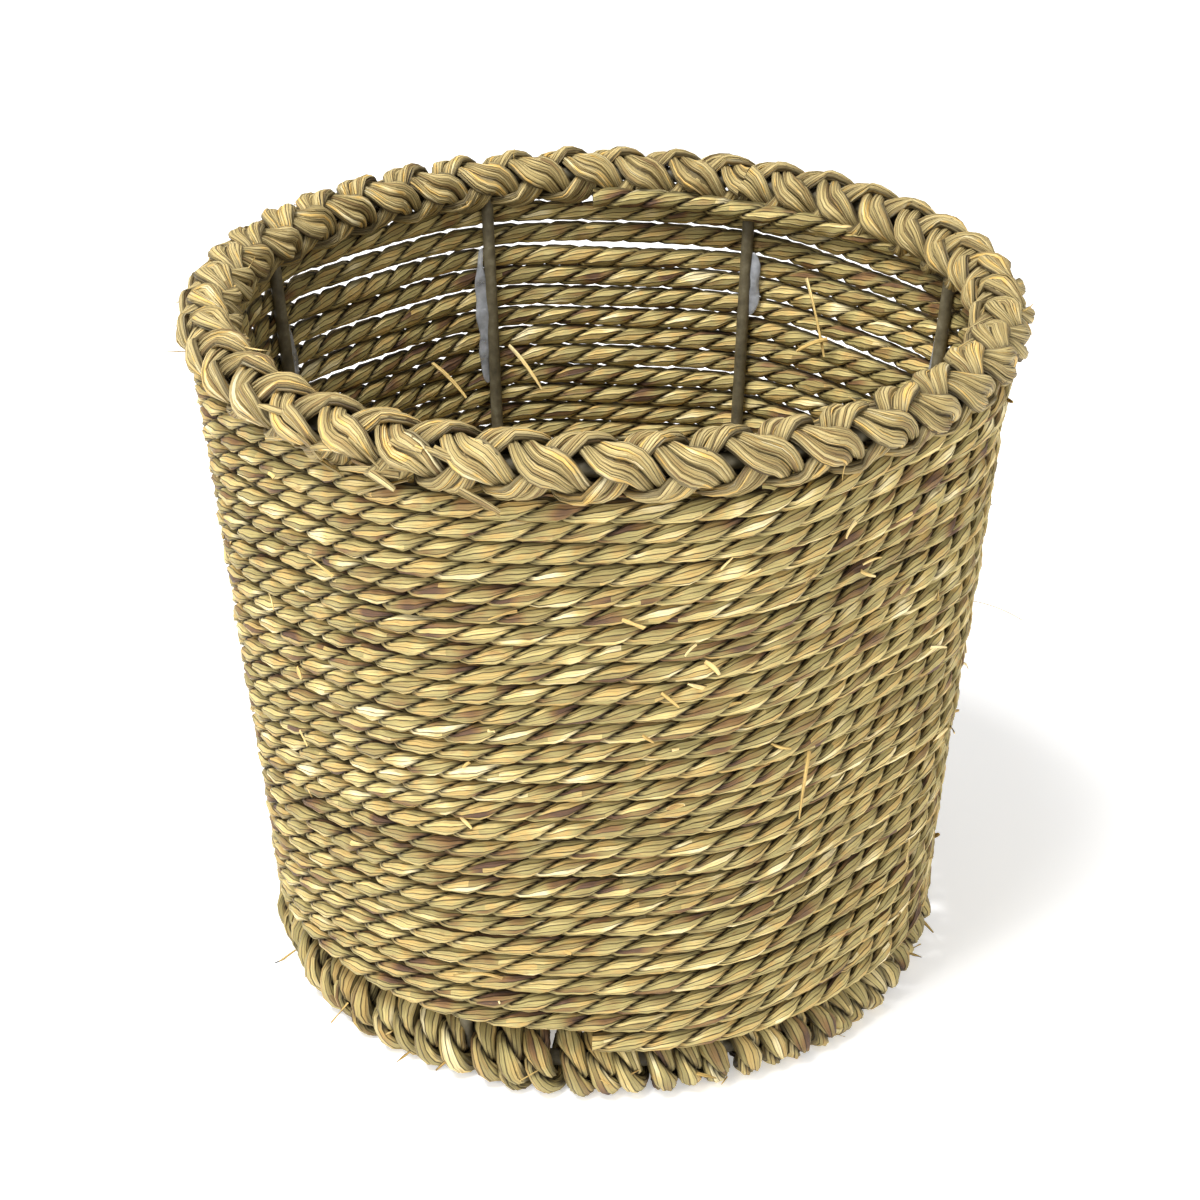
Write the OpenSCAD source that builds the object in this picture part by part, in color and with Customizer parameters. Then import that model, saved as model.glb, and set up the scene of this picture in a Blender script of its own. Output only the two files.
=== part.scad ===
// Round storage basket: seagrass rope wound and glued on a welded wire frame.
// Millimetres. Z is up and the basket stands on z = 0, centred on the Z axis.
// Angles run clockwise from the back (+Y) towards the right (+X), seen from above.

/* [Basket] */
// Outer width across the plaited rim
rim_d = 250; // [235:1:280]
// Overall height from the standing face to the top of the rim
basket_h = 224; // [170:1:280]
// Width of the bottom ring, measured to the middle of its wire
base_ring_d = 195; // [180:1:205]

/* [Wire frame] */
// Wire of the two rings
ring_wire_d = 5; // [4:0.5:6]
// Wire of the uprights and of the rods under the floor
upright_wire_d = 4; // [3:0.5:5]
// Angle of the first upright
first_upright = 25; // [0:1:44]
// How far the foot of each upright stands outside the middle of the bottom ring wire
foot_outset = 1.2; // [0:0.1:2]
// How far the head of each upright stands inside the middle of the top ring wire
head_inset = 1.3; // [0:0.1:2]

/* [Seagrass rope] */
// Thickness of the two-strand rope
rope_d = 6.5; // [5:0.1:8]
// Air between one course of rope and the next
course_gap = 0.15; // [0.1:0.05:1.5]
// How far the rope draws inwards between two uprights
span_inset = 3.5; // [0:0.1:6]
// Angle at which the free top end of the rope lies
rope_end_angle = -2; // [-10:1:10]

/* [Rim] */
// Thickness of the plait that is worked round the top ring
braid_d = 16; // [14:0.5:18]
// Width of one flat bundle of the plait
strand_w = 4.6; // [4:0.1:5]
// Turns that a bundle makes round the ring between two uprights
turns_per_bay = 2.5; // [1.5:1:2.5]

/* [Base] */
// Slack of the rope wraps round the bottom ring
wrap_slack = 0.9; // [0.2:0.1:2]
// How much the wraps are pressed flat where the basket stands
wrap_flat = 0.4; // [0.2:0.1:1]
// Gap left in the wraps where an upright or a rod meets the ring
wrap_opening = 5.6; // [5.4:0.1:8]

/* [Glue] */
// Thickness of a bead of hot glue
glue_d = 2.4; // [1.5:0.1:3]
// Length of a bead of hot glue
glue_l = 75; // [30:1:100]

/* [Fits] */
// Air between pieces that rest on each other
fit_gap = 0.1; // [0.05:0.05:0.3]

/* [Hidden] */

upright_count = 8;
bay = 360 / upright_count;
ring_fn = 96;
wire_fn = 32;

// Rings
wrap_inner_r = ring_wire_d / 2 + wrap_slack;
wrap_outer_r = wrap_inner_r + rope_d;
base_ring_r = base_ring_d / 2;
base_ring_z = wrap_outer_r - wrap_flat;
top_ring_r = (rim_d - braid_d) / 2;
top_ring_z = basket_h - braid_d / 2;

// Uprights lean outwards on straight lines from ring to ring
foot_r = base_ring_r + foot_outset;
head_r = top_ring_r - head_inset;
lean = (head_r - foot_r) / (top_ring_z - base_ring_z);
function upright_r(z) = foot_r + lean * (z - base_ring_z);

// Wall rope: one length, wound downwards from its free end under the rim
rope_sides = 8;
floor_sides = 6;
wall_steps = 16;
wall_step = 360 / wall_steps;
course_pitch = rope_d + course_gap;
corner_offset = (upright_wire_d / 2 + rope_d / 2 + fit_gap) / cos(wall_step / 2);
wall_top_z = top_ring_z - braid_d / 2 - rope_d / 2 - fit_gap;
lowest_reach = foot_r + corner_offset - base_ring_r;
wrap_clear = wrap_outer_r + rope_d / 2 + fit_gap;
wall_bottom_z = base_ring_z + sqrt(pow(wrap_clear, 2) - pow(lowest_reach - span_inset / 4, 2)) + fit_gap;
wall_stations = floor((wall_top_z - wall_bottom_z) / course_pitch * wall_steps);
inset_rise = 60;

function inset_at(z) = span_inset * min(1, 0.25 + (z - wall_bottom_z) / inset_rise);
function corner_r(z) = upright_r(z) + corner_offset;
function inner_r(z) = upright_r(z) - corner_offset;
function wall_r(j, z) = j % 2 == 0 ? corner_r(z) : corner_r(z) - inset_at(z);
function wall_z(j) = wall_top_z - course_pitch * j / wall_steps;
function around(r, angle, z) = [r * sin(angle), r * cos(angle), z];
function wall_point(j) =
  let (z = wall_z(max(j, 0)))
  let (crossing = wall_steps / upright_count)
  let (r = j <= crossing / 2 - 1 ? inner_r(z) : j == crossing / 2 ? (inner_r(z) + corner_r(z)) / 2 : wall_r(j, z))
  around(r, first_upright + wall_step * j, z);
rope_end_point = around(inner_r(wall_top_z), rope_end_angle, wall_top_z);

// Floor rope: a flat coil that rests on the rods, inside the wraps
floor_z = base_ring_z + upright_wire_d / 2 + rope_d / 2 + fit_gap;
floor_outer_r = base_ring_r - sqrt(pow(wrap_clear, 2) - pow(floor_z - base_ring_z, 2));
floor_inner_r = rope_d;
floor_steps = 20;
floor_stations = floor((floor_outer_r - floor_inner_r) / course_pitch * floor_steps);

// Rim plait: two bundles turn one way round the ring and two the other way
strand_steps = 12;
strand_sides = 6;
plait_turns = turns_per_bay * upright_count;
plait_core_r = ring_wire_d / 2 + fit_gap;
crossing_share = 0.68;
strand_t = (braid_d / 2 - plait_core_r - 2 * crossing_share * fit_gap) / (1 + 2 * crossing_share);
strand_rise = crossing_share * (strand_t + fit_gap);
strand_mid_r = plait_core_r + strand_t / 2 + strand_rise;
upright_side = 235;
strand_end_gap = 0.4;

// Glue beads
glue_side = upright_wire_d / 2 + glue_d / 2 + fit_gap;
glue_in = glue_d / 4;
glue_top_z = wall_top_z - 1.5 * rope_d;

wire_grey = [0.33, 0.31, 0.26];
rope_khaki = [0.72, 0.65, 0.43];
plait_straw = [0.76, 0.69, 0.46];
glue_grey = [0.80, 0.83, 0.86];

// ---- shared shapes ----

// A flat or round strand along a path: an elliptical section, thick along each normal
module strand(path, normals, width, thick, sides) {
  count = len(path);
  function along(i) =
    let (v = path[min(i + 1, count - 1)] - path[max(i - 1, 0)])
    v / norm(v);
  function across(i) =
    let (v = cross(along(i), normals[i]))
    v / norm(v);
  function outwards(i) = cross(across(i), along(i));
  points = [
    for (i = [0 : count - 1])
      for (k = [0 : sides - 1])
        path[i]
        + outwards(i) * thick / 2 * cos(360 * k / sides)
        + across(i) * width / 2 * sin(360 * k / sides)
  ];
  first_cap = [for (k = [0 : sides - 1]) k];
  last_cap = [for (k = [sides - 1 : -1 : 0]) (count - 1) * sides + k];
  walls = [
    for (i = [0 : count - 2])
      for (k = [0 : sides - 1])
        let (here = i * sides + k)
        let (beside = i * sides + (k + 1) % sides)
        each [[here, here + sides, beside + sides], [here, beside + sides, beside]]
  ];
  polyhedron(points = points, faces = concat([last_cap], walls, [first_cap]), convexity = 10);
}

module wire_ring(r, z) {
  translate([0, 0, z])
    rotate_extrude($fn = ring_fn)
      translate([r, 0])
        circle(d = ring_wire_d, $fn = wire_fn);
}

module rod_between(from_point, to_point, d) {
  v = to_point - from_point;
  translate(from_point)
    rotate([0, acos(v[2] / norm(v)), atan2(v[1], v[0])])
      cylinder(d = d, h = norm(v), $fn = wire_fn);
}

// ---- wire frame ----

module top_ring() {
  color(wire_grey) wire_ring(top_ring_r, top_ring_z);
}

module bottom_ring() {
  color(wire_grey) wire_ring(base_ring_r, base_ring_z);
}

// Both ends are shaped to sit on the ring wires, where they are welded
module upright(n) {
  angle = first_upright + bay * (n - 1);
  color(wire_grey)
    difference() {
      rod_between(around(foot_r, angle, base_ring_z), around(head_r, angle, top_ring_z), upright_wire_d);
      wire_ring(base_ring_r, base_ring_z);
      wire_ring(top_ring_r, top_ring_z);
    }
}

module base_rod_long() {
  color(wire_grey)
    difference() {
      rod_between(
        around(base_ring_r, first_upright, base_ring_z),
        around(base_ring_r, first_upright + 180, base_ring_z),
        upright_wire_d
      );
      wire_ring(base_ring_r, base_ring_z);
    }
}

// A short rod butts on the side of the long one
module base_rod_short(angle) {
  color(wire_grey)
    difference() {
      rod_between(
        around(upright_wire_d / 2 + fit_gap / 2, angle, base_ring_z),
        around(base_ring_r, angle, base_ring_z),
        upright_wire_d
      );
      wire_ring(base_ring_r, base_ring_z);
    }
}

// ---- seagrass ----

module wall_rope() {
  path = concat([rope_end_point], [for (j = [-1 : wall_stations]) wall_point(j)]);
  normals = [for (p = path) [p[0], p[1], 0] / norm([p[0], p[1]])];
  color(rope_khaki) strand(path, normals, rope_d, rope_d, rope_sides);
}

module floor_rope() {
  path = [
    for (j = [0 : floor_stations])
      around(floor_outer_r - course_pitch * j / floor_steps, first_upright + 360 * j / floor_steps, floor_z)
  ];
  normals = [for (p = path) [0, 0, 1]];
  color(rope_khaki) strand(path, normals, rope_d, rope_d, floor_sides);
}

// Rope wound round the bottom ring, bay by bay, and pressed flat underneath
module base_wraps() {
  opening_angle = 2 * asin(wrap_opening / 2 / (base_ring_r - wrap_outer_r));
  color(rope_khaki)
    difference() {
      for (n = [0 : upright_count - 1])
        rotate([0, 0, 90 - first_upright - bay * (n + 1) + opening_angle / 2])
          translate([0, 0, base_ring_z])
            rotate_extrude(angle = bay - opening_angle, $fn = ring_fn)
              translate([base_ring_r, 0])
                difference() {
                  circle(r = wrap_outer_r, $fn = wire_fn);
                  circle(r = wrap_inner_r, $fn = wire_fn);
                }
      translate([0, 0, -rope_d])
        cylinder(r = base_ring_r + 2 * wrap_outer_r, h = rope_d, $fn = ring_fn);
    }
}

// turn is +1 or -1 for the way round the ring, start is 0 or 180
module rim_strand(turn, start) {
  count = plait_turns * strand_steps;
  span = 360 - strand_end_gap;
  function azimuth(i) = strand_end_gap / 2 + span * i / count;
  function phase(i) = plait_turns * azimuth(i);
  function side(i) = upright_side + 90 + start + turn * phase(i);
  function radius(i) = strand_mid_r + turn * strand_rise * cos(2 * phase(i));
  function outward(i) = around(cos(side(i)), first_upright + azimuth(i), sin(side(i)));
  path = [
    for (i = [0 : count])
      around(top_ring_r, first_upright + azimuth(i), top_ring_z) + radius(i) * outward(i)
  ];
  normals = [for (i = [0 : count]) outward(i)];
  color(plait_straw) strand(path, normals, strand_w, strand_t, strand_sides);
}

// ---- glue ----

// One bead runs down the side of each upright, where the rope lies on the wire
module glue_beads() {
  color(glue_grey)
    for (n = [1 : upright_count])
      rotate([0, 0, -first_upright - bay * (n - 1)])
        rod_between(
          [glue_side, upright_r(glue_top_z - glue_l) - glue_in, glue_top_z - glue_l],
          [glue_side, upright_r(glue_top_z) - glue_in, glue_top_z],
          glue_d
        );
}

top_ring();
bottom_ring();
upright(1);  // upright_1
upright(2);  // upright_2
upright(3);  // upright_3
upright(4);  // upright_4
upright(5);  // upright_5
upright(6);  // upright_6
upright(7);  // upright_7
upright(8);  // upright_8
base_rod_long();
base_rod_short(first_upright - 90);  // base_rod_left
base_rod_short(first_upright + 90);  // base_rod_right
wall_rope();
floor_rope();
base_wraps();
rim_strand(1, 0);  // rim_strand_1
rim_strand(1, 180);  // rim_strand_2
rim_strand(-1, 0);  // rim_strand_3
rim_strand(-1, 180);  // rim_strand_4
glue_beads();
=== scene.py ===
import math

import bmesh
import bpy
import numpy as np
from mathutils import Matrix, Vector


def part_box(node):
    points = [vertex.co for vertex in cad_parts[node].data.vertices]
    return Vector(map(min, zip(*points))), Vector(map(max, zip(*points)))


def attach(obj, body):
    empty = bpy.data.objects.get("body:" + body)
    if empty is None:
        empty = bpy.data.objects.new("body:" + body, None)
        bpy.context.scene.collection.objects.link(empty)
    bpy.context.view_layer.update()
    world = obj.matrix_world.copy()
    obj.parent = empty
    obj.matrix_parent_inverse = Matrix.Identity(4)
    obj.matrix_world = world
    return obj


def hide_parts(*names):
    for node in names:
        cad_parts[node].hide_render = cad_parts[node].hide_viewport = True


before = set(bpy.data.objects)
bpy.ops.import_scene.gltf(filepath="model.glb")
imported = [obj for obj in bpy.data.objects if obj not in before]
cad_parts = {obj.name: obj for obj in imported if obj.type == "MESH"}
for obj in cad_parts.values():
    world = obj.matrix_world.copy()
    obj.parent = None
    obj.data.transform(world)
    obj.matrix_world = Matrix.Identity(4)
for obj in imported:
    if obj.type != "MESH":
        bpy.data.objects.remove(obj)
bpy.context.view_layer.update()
bpy.context.scene.view_settings.view_transform = "Standard"


# ---- Wire frame ----
# Two rings, eight leaning uprights and a cross of rods, all round steel wire, welded where they meet and
# painted a dull olive grey. Their shapes are the frame's own, so they only get their paint here.


class Socket:
    """A value that varies over a surface. Sums, products and powers of it add Math nodes."""

    def __init__(self, finish, link):
        self.finish = finish
        self.link = link

    def maths(self, operation, first, second=0.0):
        settings = {"operation": operation}
        return self.finish.node("ShaderNodeMath", settings, {0: first, 1: second})

    def __add__(self, other):
        return self.maths("ADD", self, other)

    def __sub__(self, other):
        return self.maths("SUBTRACT", self, other)

    def __rsub__(self, other):
        return self.maths("SUBTRACT", other, self)

    def __mul__(self, other):
        return self.maths("MULTIPLY", self, other)

    def __pow__(self, other):
        return self.maths("POWER", self, other)

    def whole(self):
        return self.maths("FLOOR", self)

    def fraction(self):
        return self.maths("FRACT", self)

    def size(self):
        return self.maths("ABSOLUTE", self)

    def cosine(self):
        return self.maths("COSINE", self)

    def sine(self):
        return self.maths("SINE", self)

    def between(self, low, high):
        settings = {"interpolation_type": "SMOOTHSTEP"}
        return self.finish.node("ShaderNodeMapRange", settings, {0: self, 1: low, 2: high})

    __radd__ = __add__
    __rmul__ = __mul__


class Finish:
    """A material and the nodes that paint it."""

    def __init__(self, name, **constants):
        self.material = bpy.data.materials.new(name)
        self.material.use_nodes = True
        self.tree = self.material.node_tree
        self.shader = self.tree.nodes["Principled BSDF"]
        for socket, value in constants.items():
            self.shader.inputs[socket.replace("_", " ")].default_value = value

    def node(self, kind, settings, inputs, output=0):
        made = self.tree.nodes.new(kind)
        stops = settings.pop("stops", None)
        for name, value in settings.items():
            setattr(made, name, value)
        if stops:
            ramp = made.color_ramp
            while len(ramp.elements) < len(stops):
                ramp.elements.new(0.5)
            for element, (position, colour) in zip(ramp.elements, stops):
                element.position = position
                element.color = (*colour, 1.0)
        for key, value in inputs.items():
            self.feed(made.inputs[key], value)
        return Socket(self, made.outputs[output])

    def feed(self, socket, value):
        if isinstance(value, Socket):
            self.tree.links.new(value.link, socket)
        else:
            socket.default_value = value

    def vector(self, x, y, z):
        return self.node("ShaderNodeCombineXYZ", {}, {0: x, 1: y, 2: z})

    def noise(self, place, scale, detail=2.0, roughness=0.5):
        inputs = {"Vector": place, "Scale": scale, "Detail": detail, "Roughness": roughness}
        return self.node("ShaderNodeTexNoise", {}, inputs)

    def mix(self, share, first, second, way="MIX"):
        settings = {"data_type": "RGBA", "blend_type": way}
        return self.node("ShaderNodeMix", settings, {0: share, 6: first, 7: second}, 2)

    def paint(self, **inputs):
        for name, value in inputs.items():
            self.feed(self.shader.inputs[name.replace("_", " ")], value)

    def relief(self, height, depth, strength=1.0):
        inputs = {"Height": height, "Distance": depth, "Strength": strength}
        self.paint(Normal=self.node("ShaderNodeBump", {}, inputs))


def paint_colour(red, green, blue):
    """A colour as seen on a screen, 0 to 255, in the linear values that shaders use."""
    shares = [channel / 255 for channel in (red, green, blue)]
    return tuple(c / 12.92 if c <= 0.04045 else ((c + 0.055) / 1.055) ** 2.4 for c in shares)


def solid(colour):
    return (*colour, 1.0)


wire_paint = Finish("wire_paint")
wire_place = wire_paint.node("ShaderNodeTexCoord", {}, {}, "Object")
wire_mottle = wire_paint.noise(wire_place, 260.0, 4.0, 0.65)
wire_patches = wire_paint.noise(wire_place, 38.0, 3.0)
wire_colour = wire_paint.node(
    "ShaderNodeValToRGB",
    {"stops": [
        (0.30, paint_colour(58, 52, 36)),
        (0.52, paint_colour(92, 84, 62)),
        (0.72, paint_colour(122, 114, 90)),
    ]},
    {"Fac": wire_mottle * 0.7 + wire_patches * 0.3},
)
wire_paint.paint(Base_Color=wire_colour, Roughness=wire_mottle * 0.3 + 0.45)
wire_paint.relief(wire_mottle, 0.0003, 0.7)

wire_nodes = ["top_ring", "bottom_ring", "base_rod_long", "base_rod_left", "base_rod_right"]
upright_nodes = sorted(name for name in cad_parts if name.startswith("upright_"))
for name in wire_nodes + upright_nodes:
    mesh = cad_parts[name].data
    mesh.materials.clear()
    mesh.materials.append(wire_paint.material)


# ---- Base wraps ----
# Two-strand seagrass rope wound over the bottom ring, turn beside turn, all the way round. Each strand is
# a bundle of flat dried blades, and the turns part where an upright or a rod meets the ring.


def middle(node):
    low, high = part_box(node)
    return (low + high) / 2


def ring_sizes(node):
    """The middle radius and height of a ring."""
    low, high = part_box(node)
    return high.x - (high.z - low.z) / 2, (high.z + low.z) / 2


def smooth_noise(places, spacing, seed, rows=1, row=0):
    """Random values from -1 to 1, one each spacing along a row, with soft steps between them."""
    steps = np.asarray(places) / spacing
    first = np.floor(steps).astype(int)
    share = steps - first
    share = share * share * (3 - 2 * share)
    count = int(first.max()) + 2
    knots = np.random.default_rng(seed).uniform(-1, 1, (rows, count))
    return knots[row, first] * (1 - share) + knots[row, first + 1] * share


class Route:
    """The middle line of a rope, with its outer side and its upper side at each point."""

    def __init__(self, points, outer):
        steps = np.linalg.norm(np.diff(points, axis=0), axis=1)
        self.along = np.concatenate(([0.0], np.cumsum(steps)))
        self.length = self.along[-1]
        forward = np.gradient(points, axis=0)
        upper = np.cross(forward, outer)
        upper /= np.linalg.norm(upper, axis=1)[:, None]
        outer = np.cross(upper, forward)
        outer /= np.linalg.norm(outer, axis=1)[:, None]
        self.lines = (points, outer, upper)

    def at(self, places):
        return [
            np.stack([np.interp(places, self.along, line[:, axis]) for axis in range(3)], axis=1)
            for line in self.lines
        ]


def bundle(name, length, step, blades, groove=0.10):
    """A straight round bundle of blades along X, 1 m in radius, with a groove between each two blades."""
    corners = 3 * blades
    outline = bpy.data.curves.new(name + "_outline", "CURVE")
    outline.dimensions = "2D"
    ring = outline.splines.new("POLY")
    ring.use_cyclic_u = True
    ring.points.add(corners - 1)
    for corner, point in enumerate(ring.points):
        angle = 2 * math.pi * corner / corners
        reach = 1 - groove if corner % 3 == 0 else 1.0
        point.co = (reach * math.cos(angle), reach * math.sin(angle), 0, 1)
    outline_object = bpy.data.objects.new(name + "_outline", outline)
    bpy.context.scene.collection.objects.link(outline_object)
    line = bpy.data.curves.new(name, "CURVE")
    line.dimensions = "3D"
    line.twist_mode = "Z_UP"
    line.bevel_mode = "OBJECT"
    line.bevel_object = outline_object
    line.use_fill_caps = True
    spline = line.splines.new("POLY")
    count = int(length / step) + 1
    spline.points.add(count - 1)
    places = np.zeros((count, 4))
    places[:, 0] = np.linspace(0, length, count)
    spline.points.foreach_set("co", places.ravel())
    drawn = bpy.data.objects.new(name + "_line", line)
    bpy.context.scene.collection.objects.link(drawn)
    bpy.context.view_layer.update()
    depsgraph = bpy.context.evaluated_depsgraph_get()
    mesh = bpy.data.meshes.new_from_object(drawn.evaluated_get(depsgraph))
    bpy.data.objects.remove(drawn)
    bpy.data.objects.remove(outline_object)
    return mesh


def get_points(mesh):
    flat = np.zeros(len(mesh.vertices) * 3)
    mesh.vertices.foreach_get("co", flat)
    return flat.reshape(-1, 3)


def set_points(mesh, points):
    mesh.vertices.foreach_set("co", np.ascontiguousarray(points, dtype=np.float64).ravel())
    mesh.update()


def lengthen_map(mesh, start, length, offset):
    """Maps a bundle by its share around and by metres along, with an offset that keeps bundles unlike."""
    layer = mesh.uv_layers[0]
    flat = np.zeros(len(layer.data) * 2)
    layer.data.foreach_get("uv", flat)
    along = offset + start + flat[0::2] * length
    flat[0::2] = flat[1::2]
    flat[1::2] = along
    layer.data.foreach_set("uv", flat)


def mark_painted_shade(mesh, depth):
    """Notes on each vertex how deep it lies in a fold, 0 to 1, for the material to darken there as painted
    shade.
    """
    marks = mesh.attributes.new("painted_shade", "FLOAT", "POINT")
    marks.data.foreach_set("value", np.ascontiguousarray(depth, dtype=np.float32))


def lay_strand(mesh, route, start, side, rope_d, lay, blades, seed, swell=None):
    """Lays a straight bundle along a route, as one of the two strands that twist round each other.

    A strand is rounded outside and nearly flat where it presses on the other one. Its blades are twisted
    the other way round from the rope, so they come out almost straight.
    """
    centre, crown_reach, flat_reach, half_width = 0.44, 0.56, 0.43, 0.90
    crease_from, edge_from, crease_width = 0.91, 0.84, 0.16
    blade_lay = lay * 0.95
    points = get_points(mesh)
    places = start + points[:, 0]
    round_angle = np.arctan2(points[:, 2], points[:, 1])
    reach = np.hypot(points[:, 1], points[:, 2])
    blade = np.floor((round_angle / (2 * np.pi) % 1.0) * blades + 0.5 / 3).astype(int) % blades
    thick = rope_d / 2 * (1 + 0.06 * smooth_noise(places, 0.035, seed))
    if swell is not None:
        thick = thick * swell(places)
    drift = 3.6 * smooth_noise(places, 0.31, seed // 2 + 3) + 0.5 * smooth_noise(places, 0.045, seed // 2)
    twist = -2 * np.pi * places / lay + np.pi * side + drift
    turn = round_angle + 2 * np.pi * places / blade_lay + 0.5 * smooth_noise(places, 0.06, seed + 5)
    reach = reach * (1 + 0.06 * smooth_noise(places, 0.028, seed + 9, blades, blade))
    out = np.cos(turn)
    aside = np.sin(turn)
    facing = out > 0
    outward = thick * (centre + reach * np.where(facing, crown_reach * out, -flat_reach * np.abs(out) ** 0.7))
    across = thick * half_width * reach * np.where(facing, aside, np.sign(aside) * np.abs(aside) ** 0.6)
    middle_line, outer, upper = route.at(places)
    along_outer = outward * np.cos(twist) - across * np.sin(twist)
    along_upper = outward * np.sin(twist) + across * np.cos(twist)
    set_points(mesh, middle_line + outer * along_outer[:, None] + upper * along_upper[:, None])
    # Painted shade: the colour darkens where the strand folds in against the other one and near its upper and
    # lower sides, where the courses meet
    crease_shade = (crease_from - np.hypot(outward, across) / thick) / crease_width
    edge_shade = (np.abs(along_upper) / thick - edge_from) / crease_width
    mark_painted_shade(mesh, np.maximum(np.clip(crease_shade, 0, 1), 0.8 * np.clip(edge_shade, 0, 1)))


def joined(name, meshes, finish):
    """One object from several meshes."""
    whole = bmesh.new()
    for mesh in meshes:
        whole.from_mesh(mesh)
        bpy.data.meshes.remove(mesh)
    for face in whole.faces:
        face.smooth = True
    merged = bpy.data.meshes.new(name)
    whole.to_mesh(merged)
    whole.free()
    merged.materials.append(finish.material)
    piece = bpy.data.objects.new(name, merged)
    bpy.context.scene.collection.objects.link(piece)
    return piece


def rope(name, route, start, end, rope_d, lay, step, blades, seed, finish, swell=None):
    """A stretch of two-strand rope along a route."""
    meshes = []
    for side in (0, 1):
        mesh = bundle(name, end - start, step, blades)
        lengthen_map(mesh, start, end - start, 30.0 * side)
        lay_strand(mesh, route, start, side, rope_d, lay, blades, seed * 20 + side, swell)
        meshes.append(mesh)
    return joined(name, meshes, finish)


def seagrass(name, blades, tones, stripe=2.0, blade_length=0.09, shade=1.0):
    """Dried seagrass: blades of many tones side by side, fibres along each, painted shade in the grooves
    between them.
    """
    stain_brown = solid(paint_colour(148, 108, 62))
    # One brown for the real dark veins and hairlines and for painted shade in the grooves between blades
    vein_and_shade_brown = solid(paint_colour(40, 26, 8))
    # Painted shade colour, laid over the folds between strands and the parts under crossing bundles
    painted_shade_brown = solid(paint_colour(26, 16, 4))
    relief_depth = 0.00055
    finish = Finish(name, Specular_IOR_Level=0.35)
    place = finish.node("ShaderNodeUVMap", {"uv_map": "UVMap"}, {})
    around = finish.node("ShaderNodeSeparateXYZ", {}, {0: place}, 0)
    along = finish.node("ShaderNodeSeparateXYZ", {}, {0: place}, 1)
    ring_x = (around * (2 * math.pi)).cosine()
    ring_y = (around * (2 * math.pi)).sine()

    def grain(across_scale, along_scale):
        return finish.vector(ring_x * across_scale, ring_y * across_scale, along * along_scale)

    # Which blade a point is on, and the tone of that blade
    drift = finish.noise(grain(0.8, 45.0), 1.0, 1.0) - 0.5
    across = around * float(blades) + drift * 0.9
    number = across.whole()
    inside = across.fraction()
    shift = finish.node("ShaderNodeTexWhiteNoise", {"noise_dimensions": "1D"}, {"W": number})
    length_number = (along * (1 / blade_length) + shift * 7.0).whole()
    cell = finish.vector(number, length_number, 0.5)
    pick = finish.node("ShaderNodeTexWhiteNoise", {"noise_dimensions": "3D"}, {0: cell})
    batch = finish.noise(grain(0.25, 75.0), 1.0, 1.0)
    tone = pick * 0.72 + (batch - 0.5) * 1.2 + 0.14
    stops = [(position, paint_colour(*colour)) for position, colour in tones]
    colour = finish.node("ShaderNodeValToRGB", {"stops": stops}, {"Fac": tone})

    # Fibres along the blade, and stains
    fibres = finish.noise(grain(9.0, 60.0), 2.2, 5.0, 0.7)
    fine = finish.noise(grain(26.0, 55.0), 1.6, 2.0, 0.6)
    stains = finish.noise(grain(1.5, 140.0), 1.0, 3.0, 0.6)
    lightness = (0.58 + fibres * 0.62 + fine * 0.42) * shade
    grey = finish.vector(lightness, lightness, lightness)
    colour = finish.mix(1.0, colour, grey, "MULTIPLY")
    colour = finish.mix(stains.between(0.58, 0.74) * 0.55, colour, stain_brown)

    # Painted shade in the grooves between blades, dark lines along the blades' veins, and painted shade in
    # the creases between strands
    off_middle = (inside - 0.5).size() * 2.0
    groove = off_middle.between(0.72, 1.0)
    vein = (((inside * stripe).fraction() - 0.5).size() * 2.0).between(0.86, 1.0)
    thin = fine.between(0.62, 0.70)
    colour = finish.mix(groove * 0.80 + vein * 0.42 + thin * 0.30, colour, vein_and_shade_brown)
    # Painted shade: darker brown over the folds between strands, the sides of courses and the parts under
    # crossing bundles, by each vertex's mark
    painted_shade = finish.node("ShaderNodeAttribute", {"attribute_name": "painted_shade"}, {}, "Fac")
    colour = finish.mix(painted_shade * 0.9, colour, painted_shade_brown)
    finish.paint(Base_Color=colour, Roughness=0.42 + fibres * 0.3)
    crown = 1.0 - off_middle ** 2.5
    finish.relief(crown * 0.9 + fibres * 0.35 - vein * 0.35 - thin * 0.2, relief_depth, 0.9)
    return finish


rope_tones = [
    (0.00, (92, 66, 46)),
    (0.10, (128, 96, 56)),
    (0.22, (146, 127, 76)),
    (0.36, (160, 146, 92)),
    (0.48, (174, 156, 98)),
    (0.60, (190, 158, 94)),
    (0.72, (186, 170, 112)),
    (0.84, (208, 184, 118)),
    (1.00, (234, 218, 168)),
]
rope_blades = 9
rope_finish = seagrass("seagrass_rope", rope_blades, rope_tones)
# A darker copy of the rope finish for the base wraps: painted shade on the rope wound round the bottom ring
wraps_shaded_finish = seagrass("seagrass_wraps_shaded", rope_blades, rope_tones, shade=0.84)

rope_d = 0.0065
rope_lay = 0.0228
rope_step = 0.0025

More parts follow.
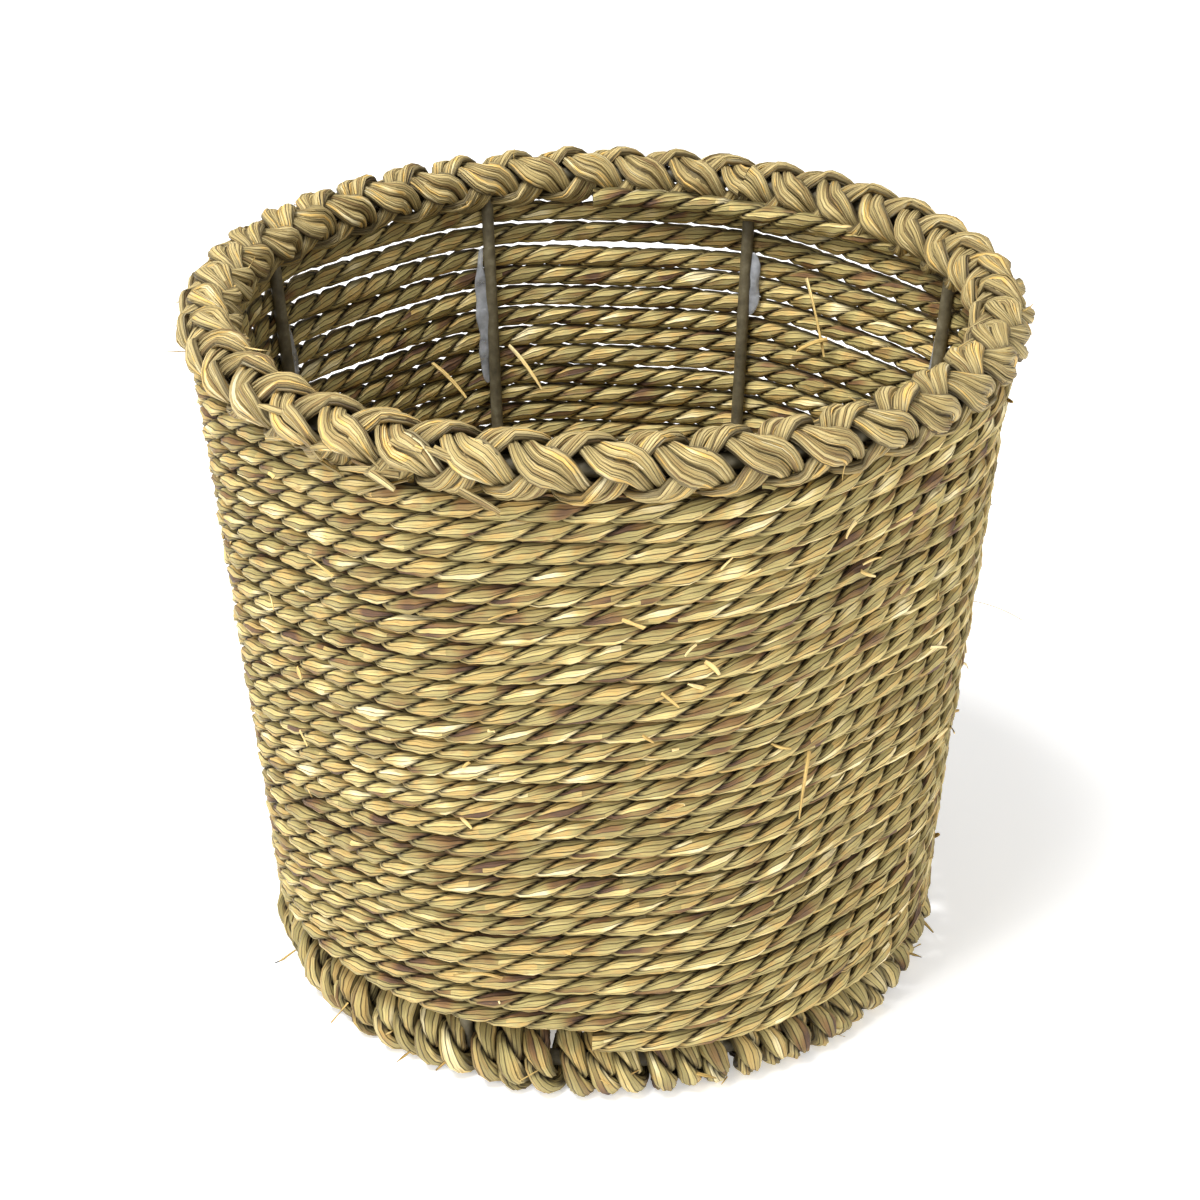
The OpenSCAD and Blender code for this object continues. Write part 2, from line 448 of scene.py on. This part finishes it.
base_r, base_z = ring_sizes("bottom_ring")
upright_angles = [math.atan2(middle(name).x, middle(name).y) for name in upright_nodes]
first_angle = upright_angles[0]
bay = 2 * math.pi / len(upright_nodes)
wrap_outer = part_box("base_wraps")[1].x - base_r
wrap_mid = wrap_outer - rope_d / 2
turns_per_bay = 9
points_per_turn = 40
opening = 0.0022
wrap_d = rope_d * 1.24
wrap_lay = rope_lay * 0.95
wrap_step = 0.0021
resting_z = 0.0001
wrap_turns = turns_per_bay * len(upright_nodes)
turn_places = np.linspace(0, wrap_turns, wrap_turns * points_per_turn + 1)
bay_number = np.floor(turn_places / turns_per_bay)
bay_share = turn_places / turns_per_bay - bay_number
crossing = np.clip((bay_share - 1 + 0.5 / turns_per_bay) * turns_per_bay * 2, 0, 1)
bay_length = bay * base_r
wrap_along = (bay_number + bay_share) * bay_length
wrap_along += opening * (crossing - bay_share)
wrap_along += 0.0015 * smooth_noise(turn_places, 0.8, 21)
wrap_swing = 2 * np.pi * (turn_places - 0.25)
wrap_reach = wrap_mid + 0.0010 * smooth_noise(turn_places, 0.45, 22)
side_out = wrap_reach * np.cos(wrap_swing)
side_up = wrap_reach * np.sin(wrap_swing)
wrap_angle = first_angle + wrap_along / base_r
ring_out = np.stack([np.sin(wrap_angle), np.cos(wrap_angle), np.zeros_like(wrap_angle)], axis=1)
wrap_points = ring_out * (base_r + side_out)[:, None]
wrap_points[:, 2] = base_z + side_up
wrap_normals = ring_out * np.cos(wrap_swing)[:, None]
wrap_normals[:, 2] = np.sin(wrap_swing)
wrap_route = Route(wrap_points, wrap_normals)
wrap_pieces = 2
for part in range(wrap_pieces):
    start = wrap_route.length * part / wrap_pieces
    end = wrap_route.length * (part + 1) / wrap_pieces
    piece = rope(
        f"base_wraps_{part + 1}", wrap_route, start, end, wrap_d, wrap_lay,
        wrap_step, rope_blades, 31 + part, wraps_shaded_finish,
    )
    pressed = get_points(piece.data)
    pressed[:, 2] = np.maximum(pressed[:, 2], resting_z)
    set_points(piece.data, pressed)
    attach(piece, "root")
    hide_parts("base_wraps")


# ---- Floor ----
# A flat coil of the same rope, wound from the wraps inwards and laid on the cross of rods. The turns are
# held to each other and to the wraps with glue from below.

floor_low, floor_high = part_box("floor_rope")
floor_z = (floor_low.z + floor_high.z) / 2
pressed_on = 0.0012
floor_outer = floor_high.x - rope_d / 2 + pressed_on
floor_inner = rope_d
floor_pitch = rope_d * 1.02
floor_unevenness = 0.0003
first_turn = 0.85
floor_turns = (floor_outer - floor_inner) / floor_pitch + first_turn
floor_places = np.linspace(0, floor_turns, int(floor_turns * 90))
floor_angle = first_angle + 2 * np.pi * floor_places
floor_r = floor_outer - floor_pitch * np.clip(floor_places - first_turn, 0, None)
floor_r += floor_unevenness * smooth_noise(floor_places, 0.13, 41)
floor_points = np.stack([
    floor_r * np.sin(floor_angle),
    floor_r * np.cos(floor_angle),
    floor_z + floor_unevenness * smooth_noise(floor_places, 0.17, 42),
], axis=1)
floor_route = Route(floor_points, np.tile([0.0, 0.0, 1.0], (len(floor_points), 1)))
floor_coil = rope(
    "floor_coil", floor_route, 0.0, floor_route.length, rope_d, rope_lay, rope_step,
    rope_blades, 43, rope_finish,
)
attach(floor_coil, "root")
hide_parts("floor_rope")


# ---- Wall ----
# One length of two-strand rope, glued to the uprights as it is wound round them from the rim down. Its cut
# end lies inside the back wall, under the rim, and it comes out past the first upright. Between uprights it
# runs a little flatter than the round, and the courses rise and fall by a few millimetres.

wall_low, wall_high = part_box("wall_rope")
top_r, top_z = ring_sizes("top_ring")
wall_rope_d = rope_d * 0.99
wall_top = wall_high.z - rope_d / 2
wall_bottom = wall_low.z + rope_d / 2
rope_start = math.radians(-2)
rope_end = math.radians(182)
whole_turns = 27
points_per_course = 240
foot_r = 0.0987
head_r = 0.1157
corner_offset = 0.00546
span_inset = 0.0035
inset_rise = 0.060
wave_height = 0.0042
wave_peak = math.radians(147)
second_peak = math.radians(160)
sag_height = 0.0006
most_spans = 400


def upright_r(z):
    return foot_r + (head_r - foot_r) * (z - base_z) / (top_z - base_z)


def soft_step(share):
    share = np.clip(share, 0, 1)
    return share * share * (3 - 2 * share)


wall_turns = whole_turns + (rope_end - first_angle) / (2 * math.pi)
course_pitch = (wall_top - wall_bottom) / wall_turns
turns_before = (first_angle - rope_start) / (2 * math.pi)
wall_places = np.linspace(-turns_before, wall_turns, int((wall_turns + turns_before) * points_per_course))
turns_down = np.clip(wall_places, 0, None)
wall_angle = first_angle + 2 * np.pi * wall_places
height_share = np.clip(wall_places / wall_turns, 0, 1)
wall_z = wall_top - course_pitch * turns_down
wave = np.cos(wall_angle - wave_peak) + 0.5 * np.cos(2 * (wall_angle - second_peak))
wall_z += wave_height * wave * np.sin(np.pi * height_share) ** 1.2
span = 0.5 - 0.5 * np.cos(2 * np.pi * (wall_angle - first_angle) / bay)
inset = span_inset * np.clip(0.25 + (wall_z - wall_bottom) / inset_rise, 0, 1) * span
outside = upright_r(wall_z) + corner_offset - inset
inside = upright_r(wall_z) - corner_offset
coming_out = soft_step((wall_places - 0.01) / 0.11)
wall_r = inside * (1 - coming_out) + outside * coming_out
span_number = np.floor((wall_angle - first_angle) / bay).astype(int)
span_sag = np.random.default_rng(51).uniform(-1, 1, most_spans)[span_number % most_spans]
wall_z += sag_height * span_sag * span + 0.00025 * smooth_noise(wall_places + 1, 0.04, 52)
lift = 0.0021 + 0.0026 * (0.5 + 0.5 * np.cos(wall_angle))
wall_z += lift * np.exp(-0.16 * turns_down)
wall_r += 0.0004 * smooth_noise(wall_places + 1, 0.05, 53)
wall_points = np.stack([wall_r * np.sin(wall_angle), wall_r * np.cos(wall_angle), wall_z], axis=1)
wall_outer = np.stack([np.sin(wall_angle), np.cos(wall_angle), np.zeros_like(wall_angle)], axis=1)
wall_route = Route(wall_points, wall_outer)
wall_pieces = 6


def fuller_at_back(places):
    angle = np.interp(places, wall_route.along, wall_angle)
    return 1.0 + 0.035 * (0.5 + 0.5 * np.cos(angle)) + 0.02 * smooth_noise(places, 0.019, 57)


for part in range(wall_pieces):
    start = wall_route.length * part / wall_pieces
    end = wall_route.length * (part + 1) / wall_pieces
    piece = rope(
        f"wall_rope_{part + 1}", wall_route, start, end, wall_rope_d, rope_lay, rope_step,
        rope_blades, 60, rope_finish, fuller_at_back,
    )
    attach(piece, "root")
    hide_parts("wall_rope")


# ---- Rim plait ----
# Four bundles of loose, untwisted blades, plaited round the top ring. Each bundle lies flat on the outside
# for most of its way along a side and dives under the next one where they cross.

plait_tones = [
    (0.00, (128, 102, 62)),
    (0.15, (156, 132, 82)),
    (0.35, (178, 157, 102)),
    (0.55, (192, 171, 115)),
    (0.74, (202, 182, 128)),
    (0.86, (226, 184, 98)),
    (1.00, (232, 216, 168)),
]
plait_finish = seagrass("seagrass_plait", 5, plait_tones, 3.0, 0.12, 0.90)
plait_turns = 20
plait_steps = 44
strand_mid = 0.0065
strand_rise = 0.0012
strand_w = 0.0110
strand_t = 0.0033
side_dwell = 0.39
core_step = 0.0030
blade_step = 0.0024
lowest_z = 0.0002
half_bundles = [-0.25, 0.25]
blade_rows = [(0, -0.16), (0, 0.0), (0, 0.16), (1, -0.09), (1, 0.09)]


def lay_flat(mesh, route, sideways, raised, wide, thick, roll):
    """Lays a straight bundle along a route as a flat blade, turned by roll about its own length."""
    flat = get_points(mesh)
    across = flat[:, 1] * wide
    deep = flat[:, 2] * thick
    line, outer, upper = route.at(flat[:, 0])
    aside = sideways + across * np.cos(roll) - deep * np.sin(roll)
    above = raised + across * np.sin(roll) + deep * np.cos(roll)
    laid = line + upper * aside[:, None] + outer * above[:, None]
    laid[:, 2] = np.maximum(laid[:, 2], lowest_z)
    set_points(mesh, laid)


for number, (turn, start_angle) in enumerate([(1, 0), (1, math.pi), (-1, 0), (-1, math.pi)]):
    share = np.linspace(0, 1, plait_turns * plait_steps + 1)
    azimuth = first_angle + 2 * np.pi * share
    phase = 2 * np.pi * plait_turns * share
    lean_angle = math.radians(-1) - math.radians(29) * np.cos(azimuth)
    wobble = 0.22 * smooth_noise(share * plait_turns, 0.6, 70 + number)
    side = lean_angle + start_angle + turn * phase - side_dwell * np.sin(2 * phase) + wobble
    reach = strand_mid + turn * strand_rise * np.cos(2 * phase)
    reach += 0.0003 * smooth_noise(share * plait_turns, 0.5, 80 + number)
    ring_out = np.stack([np.sin(azimuth), np.cos(azimuth), np.zeros_like(azimuth)], axis=1)
    outward = ring_out * np.cos(side)[:, None]
    outward[:, 2] = np.sin(side)
    points = ring_out * top_r + outward * reach[:, None]
    points[:, 2] += top_z - 0.0004 - 0.0005 * np.cos(azimuth)
    route = Route(points, outward)
    on_top = turn * np.cos(2 * phase)
    layers = []
    for half, aside in enumerate(half_bundles):
        seed = 100 + number * 50 + half * 20
        under = bundle(f"rim_core_{number}_{half}", route.length, core_step, 5, 0.05)
        places = get_points(under)[:, 0]
        lengthen_map(under, 0.0, route.length, 400.0 + number * 10 + half)
        swell = 1 + 0.14 * smooth_noise(places, 0.018, seed)
        spread = 0.82 + 0.18 * np.interp(places, route.along, on_top)
        aside_here = aside * strand_w * spread
        core_w = strand_w * 0.26 * swell * spread
        lay_flat(under, route, aside_here, -0.0004, core_w, strand_t * 0.38 * swell, 0.0)
        # Painted shade: the core under the blades is darkened all along
        mark_painted_shade(under, np.full(len(places), 0.75))
        layers.append(under)
        for blade, (level, sideways) in enumerate(blade_rows):
            mesh = bundle(f"rim_blade_{number}_{half}_{blade}", route.length, blade_step, 3, 0.12)
            places = get_points(mesh)[:, 0]
            lengthen_map(mesh, 0.0, route.length, 7.0 * blade + 50.0 * number + 25.0 * half)
            seed += 1
            drift = sideways + 0.05 * smooth_noise(places, 0.022, seed)
            wide = strand_w * 0.108 * (1 + 0.25 * smooth_noise(places, 0.02, seed + 300))
            roll = 0.35 * smooth_noise(places, 0.03, seed + 600) - 4.4 * drift
            crown = strand_t * (0.26 + 0.13 * level) * (1 - (5.2 * drift) ** 2 * 0.6)
            crown = crown + strand_t * 0.08 * smooth_noise(places, 0.018, seed + 900)
            raised = np.interp(places, route.along, on_top)
            spread = 0.82 + 0.18 * raised
            off_middle = np.abs(drift + get_points(mesh)[:, 1] * wide / strand_w)
            aside_here = (aside + drift) * strand_w * spread
            lay_flat(mesh, route, aside_here, crown, wide * spread, strand_t * 0.13, roll)
            # Painted shade: the blades darken near the sides of each half bundle and where the bundle dives
            # under the next one
            edge_shade = np.clip((off_middle - 0.195) / 0.06, 0, 1) * 0.7
            dive_shade = np.clip((-0.25 - raised) / 0.7, 0, 1) * 0.45
            mark_painted_shade(mesh, np.maximum(edge_shade, dive_shade))
            layers.append(mesh)
    piece = joined(f"rim_plait_{number + 1}", layers, plait_finish)
    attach(piece, "root")
    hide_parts(f"rim_strand_{number + 1}")


# ---- Hot glue ----
# Clear hot-melt glue, run down beside each upright from inside so that it holds the rope to the wire. It
# has set in uneven films with rounded edges. At the first upright there is only a short dab.

glue_finish = Finish("hot_glue", Roughness=0.22, Transmission_Weight=0.35, IOR=1.48)
glue_place = glue_finish.node("ShaderNodeTexCoord", {}, {}, "Object")
glue_cloud = glue_finish.noise(glue_place, 240.0, 3.0)
glue_colour = glue_finish.node(
    "ShaderNodeValToRGB",
    {"stops": [(0.30, paint_colour(150, 152, 156)), (0.70, paint_colour(206, 210, 216))]},
    {"Fac": glue_cloud},
)
glue_finish.paint(Base_Color=glue_colour, Alpha=0.55 + glue_cloud * 0.35)
glue_low, glue_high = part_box("glue_beads")
glue_aside = 0.0028
glue_half_width = 0.0026
glue_depth = 0.0012
dab_length = 0.022
for number, angle in enumerate(upright_angles):
    lumps = bmesh.new()
    bmesh.ops.create_uvsphere(lumps, u_segments=20, v_segments=44, radius=1.0)
    rng = np.random.default_rng(200 + number)
    waves = rng.uniform(0, 6.28, 6)
    top = glue_high.z - 0.002
    bottom = glue_low.z + rng.uniform(0.0, 0.03)
    if number == 0:
        bottom = top - dab_length
    side_sign = -1 if number % 2 else 1
    for vertex in lumps.verts:
        share = (vertex.co.z + 1) / 2
        z = bottom + (top - bottom) * share
        ripple = math.sin(z * 520 + waves[0]) * 0.14 + math.sin(z * 210 + waves[1]) * 0.30
        wide = glue_half_width * (1 + ripple)
        deep = glue_depth * (1 + 0.3 * math.sin(z * 420 + waves[2]))
        sideways = side_sign * glue_aside + vertex.co.x * wide + 0.0006 * math.sin(z * 210 + waves[3])
        inward = upright_r(z) + 0.0004 + vertex.co.y * deep
        out = Vector((math.sin(angle), math.cos(angle), 0))
        aside = Vector((math.cos(angle), -math.sin(angle), 0))
        vertex.co = out * inward + aside * sideways
        vertex.co.z = z
    for face in lumps.faces:
        face.smooth = True
    bmesh.ops.recalc_face_normals(lumps, faces=lumps.faces)
    glue_mesh = bpy.data.meshes.new(f"glue_{number + 1}")
    lumps.to_mesh(glue_mesh)
    lumps.free()
    glue_mesh.materials.append(glue_finish.material)
    glue = bpy.data.objects.new(f"glue_{number + 1}", glue_mesh)
    bpy.context.scene.collection.objects.link(glue)
    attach(glue, "root")
    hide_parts("glue_beads")


# ---- Loose blades ----
# Cut ends and splinters of blade that work out of the rope and the plait: short flat bits on the wall and
# the base, a few longer straws inside, fibres on the rim, and wide blade ends at the splice in the rim.


def ring_point(angle, r, z):
    return Vector((r * math.sin(angle), r * math.cos(angle), z))


slanting_up = (0.31, 0.17, 0.93)


def loose_blade(root, heading, length, width, bend, seed, facing=slanting_up):
    """A flat blade from a root point: heading out, then bending on. Its flat side looks towards facing."""
    count = 9
    shares = np.linspace(0, 1, count)[:, None]
    first = np.array(Vector(heading).normalized())
    points = np.array(root) + length * (first * shares + np.array(bend) * shares**2)
    route = Route(points, np.tile(np.array(facing), (count, 1)))
    mesh = bundle("loose", route.length, route.length / count, 3, 0.2)
    places = get_points(mesh)[:, 0] / route.length
    taper = 1 - 0.45 * places**3
    lengthen_map(mesh, 0.0, route.length, seed * 0.37)
    roll = 0.8 * smooth_noise(places, 0.5, seed)
    lay_flat(mesh, route, 0.0, 0.0, width / 2 * taper, width * 0.14, roll)
    return mesh


straw_tones = [
    (0.00, (150, 116, 66)),
    (0.30, (200, 168, 98)),
    (0.60, (226, 194, 122)),
    (1.00, (244, 226, 172)),
]
straw_finish = seagrass("loose_seagrass", 2, straw_tones, 2.0, 0.4)
bits_rng = np.random.default_rng(301)
bits = []
wall_bits = 60
bit_root = 0.0016
for number in range(wall_bits):
    angle = math.radians(bits_rng.normal(160, 65))
    z = bits_rng.uniform(wall_bottom, wall_top - 0.004)
    surface = upright_r(z) + corner_offset + rope_d / 2 - bit_root
    along = bits_rng.choice([-1, 1])
    tangent = Vector((math.cos(angle), -math.sin(angle), 0)) * along
    out = Vector((math.sin(angle), math.cos(angle), 0))
    heading = tangent * bits_rng.uniform(0.5, 1.0) + out * bits_rng.uniform(0.12, 0.4)
    heading.z += bits_rng.uniform(-0.6, 0.6)
    bend = np.array(tangent) * bits_rng.uniform(-0.3, 0.3)
    bend[2] += bits_rng.uniform(-0.3, 0.2)
    length = bits_rng.uniform(0.003, 0.008)
    width = bits_rng.uniform(0.0008, 0.0019)
    root = ring_point(angle, surface, z)
    bits.append(loose_blade(root, heading, length, width, bend, 310 + number, out))
# Angle round the basket, height, how proud of the wall's middle, heading, length and width
chosen_straws = [
    (97, 0.122, 0.0015, (1.0, -0.15, -0.1), 0.016, 0.0008),
    (-33, 0.158, -0.0095, (0.9, -0.6, -0.45), 0.015, 0.0018),
    (-18, 0.160, -0.0110, (0.8, -0.7, -0.55), 0.017, 0.0016),
    (38, 0.190, -0.0100, (0.3, -0.6, -0.9), 0.022, 0.0016),
    (44, 0.172, -0.0110, (-0.9, -0.5, 0.1), 0.012, 0.0018),
    (52, 0.150, -0.0110, (0.2, -0.4, -1.0), 0.016, 0.0014),
    (150, 0.120, 0.0020, (-0.2, -0.5, -1.0), 0.016, 0.0013),
    (196, 0.045, 0.0020, (-0.7, -0.4, 0.6), 0.020, 0.0011),
]
for number, (degrees, z, proud, heading, length, width) in enumerate(chosen_straws):
    angle = math.radians(degrees)
    r = upright_r(z) + corner_offset + proud
    bend = (0.0, 0.0, -0.25)
    facing = ring_point(angle, 1.0, 0.0)
    bits.append(loose_blade(ring_point(angle, r, z), heading, length, width, bend, 500 + number, facing))
splice = []
splice_blades = 16
splice_reach = 0.0078
for number in range(splice_blades):
    angle = math.radians(bits_rng.uniform(198, 224))
    side = math.radians(bits_rng.uniform(-80, 40))
    r = top_r + splice_reach * math.cos(side)
    z = top_z + splice_reach * math.sin(side)
    tangent = Vector((math.cos(angle), -math.sin(angle), 0)) * bits_rng.choice([-1, 1])
    out = Vector((math.sin(angle), math.cos(angle), 0)) * bits_rng.uniform(0.05, 0.3)
    heading = tangent + out + Vector((0, 0, bits_rng.uniform(-0.5, 0.15)))
    bend = np.array(out) * -0.6 + np.array([0, 0, -0.1])
    length = bits_rng.uniform(0.009, 0.018)
    width = bits_rng.uniform(0.0018, 0.0034)
    facing = ring_point(angle, math.cos(side), math.sin(side))
    root = ring_point(angle, r, z)
    splice.append(loose_blade(root, heading, length, width, bend, 600 + number, facing))
rim_fibres = 26
fibre_reach = 0.0080
for number in range(rim_fibres):
    angle = math.radians(bits_rng.uniform(0, 360))
    side = math.radians(bits_rng.uniform(-40, 160))
    r = top_r + fibre_reach * math.cos(side)
    z = top_z + fibre_reach * math.sin(side)
    heading = Vector(bits_rng.uniform(-1, 1, 3))
    heading += ring_point(angle, 0.5 * math.cos(side), 0.5 * math.sin(side))
    bend = bits_rng.uniform(-0.5, 0.5, 3)
    length = bits_rng.uniform(0.003, 0.007)
    width = bits_rng.uniform(0.0002, 0.0009)
    bits.append(loose_blade(ring_point(angle, r, z), heading, length, width, bend, 700 + number))
base_bits = 30
base_bit_root = 0.002
for number in range(base_bits):
    angle = math.radians(bits_rng.uniform(0, 360))
    z = bits_rng.uniform(0.002, 0.012)
    r = base_r + wrap_outer - base_bit_root
    heading = ring_point(angle, 1.0, bits_rng.uniform(-0.4, 0.3))
    heading += Vector((math.cos(angle), -math.sin(angle), 0)) * bits_rng.uniform(-1.5, 1.5)
    length = bits_rng.uniform(0.003, 0.009)
    width = bits_rng.uniform(0.0004, 0.0015)
    bend = (0.0, 0.0, 0.0)
    bits.append(loose_blade(ring_point(angle, r, z), heading, length, width, bend, 800 + number))
loose = joined("loose_blades", bits, straw_finish)
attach(loose, "root")
splice_ends = joined("splice_ends", splice, plait_finish)
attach(splice_ends, "root")


# ---- Floor, light and camera ----
# The basket stands on a plain pale floor that glows a little, as a lit white sweep does, under soft studio
# light from above and from both sides.

stage_mesh = bpy.data.meshes.new("studio_floor")
stage_shape = bmesh.new()
floor_half_size = 4.0
bmesh.ops.create_grid(stage_shape, x_segments=1, y_segments=1, size=floor_half_size)
stage_shape.to_mesh(stage_mesh)
stage_shape.free()
stage_finish = Finish("studio_white", Roughness=0.9)
stage_place = stage_finish.node("ShaderNodeTexCoord", {}, {}, "Object")
stage_tone = stage_finish.node(
    "ShaderNodeValToRGB",
    {"stops": [(0.3, (0.93, 0.93, 0.93)), (0.7, (0.95, 0.95, 0.95))]},
    {"Fac": stage_finish.noise(stage_place, 3.0)},
)
white = solid((1.0, 1.0, 1.0))
stage_finish.paint(Base_Color=stage_tone, Emission_Color=white, Emission_Strength=0.36)
stage_mesh.materials.append(stage_finish.material)
studio_floor = bpy.data.objects.new("studio_floor", stage_mesh)
bpy.context.scene.collection.objects.link(studio_floor)

world = bpy.data.worlds.new("studio")
world.use_nodes = True
sky = world.node_tree.nodes["Background"].inputs
sky["Color"].default_value = white
sky["Strength"].default_value = 0.50
bpy.context.scene.world = world


softbox_size = 0.6
aim = Vector((0, 0, 0.1))


def softbox(name, place, power):
    light = bpy.data.lights.new(name, "AREA")
    light.shape = "SQUARE"
    light.size = softbox_size
    light.energy = power
    lamp = bpy.data.objects.new(name, light)
    lamp.location = place
    lamp.rotation_euler = (aim - Vector(place)).to_track_quat("-Z", "Y").to_euler()
    bpy.context.scene.collection.objects.link(lamp)


softbox("softbox_above", (-0.40, -0.32, 1.4), 31.0)
softbox("softbox_left", (-1.0, -1.2, 0.9), 9.5)
softbox("softbox_right", (0.9, -1.3, 0.35), 9.5)

camera_data = bpy.data.cameras.new("camera")
camera_data.lens = 78.0
camera_data.sensor_width = 36.0
camera = bpy.data.objects.new("camera", camera_data)
camera.location = (-0.0014, -0.7255, 0.5027)
camera.rotation_euler = (math.radians(61.87), 0.0, 0.0)
bpy.context.scene.collection.objects.link(camera)
bpy.context.scene.camera = camera
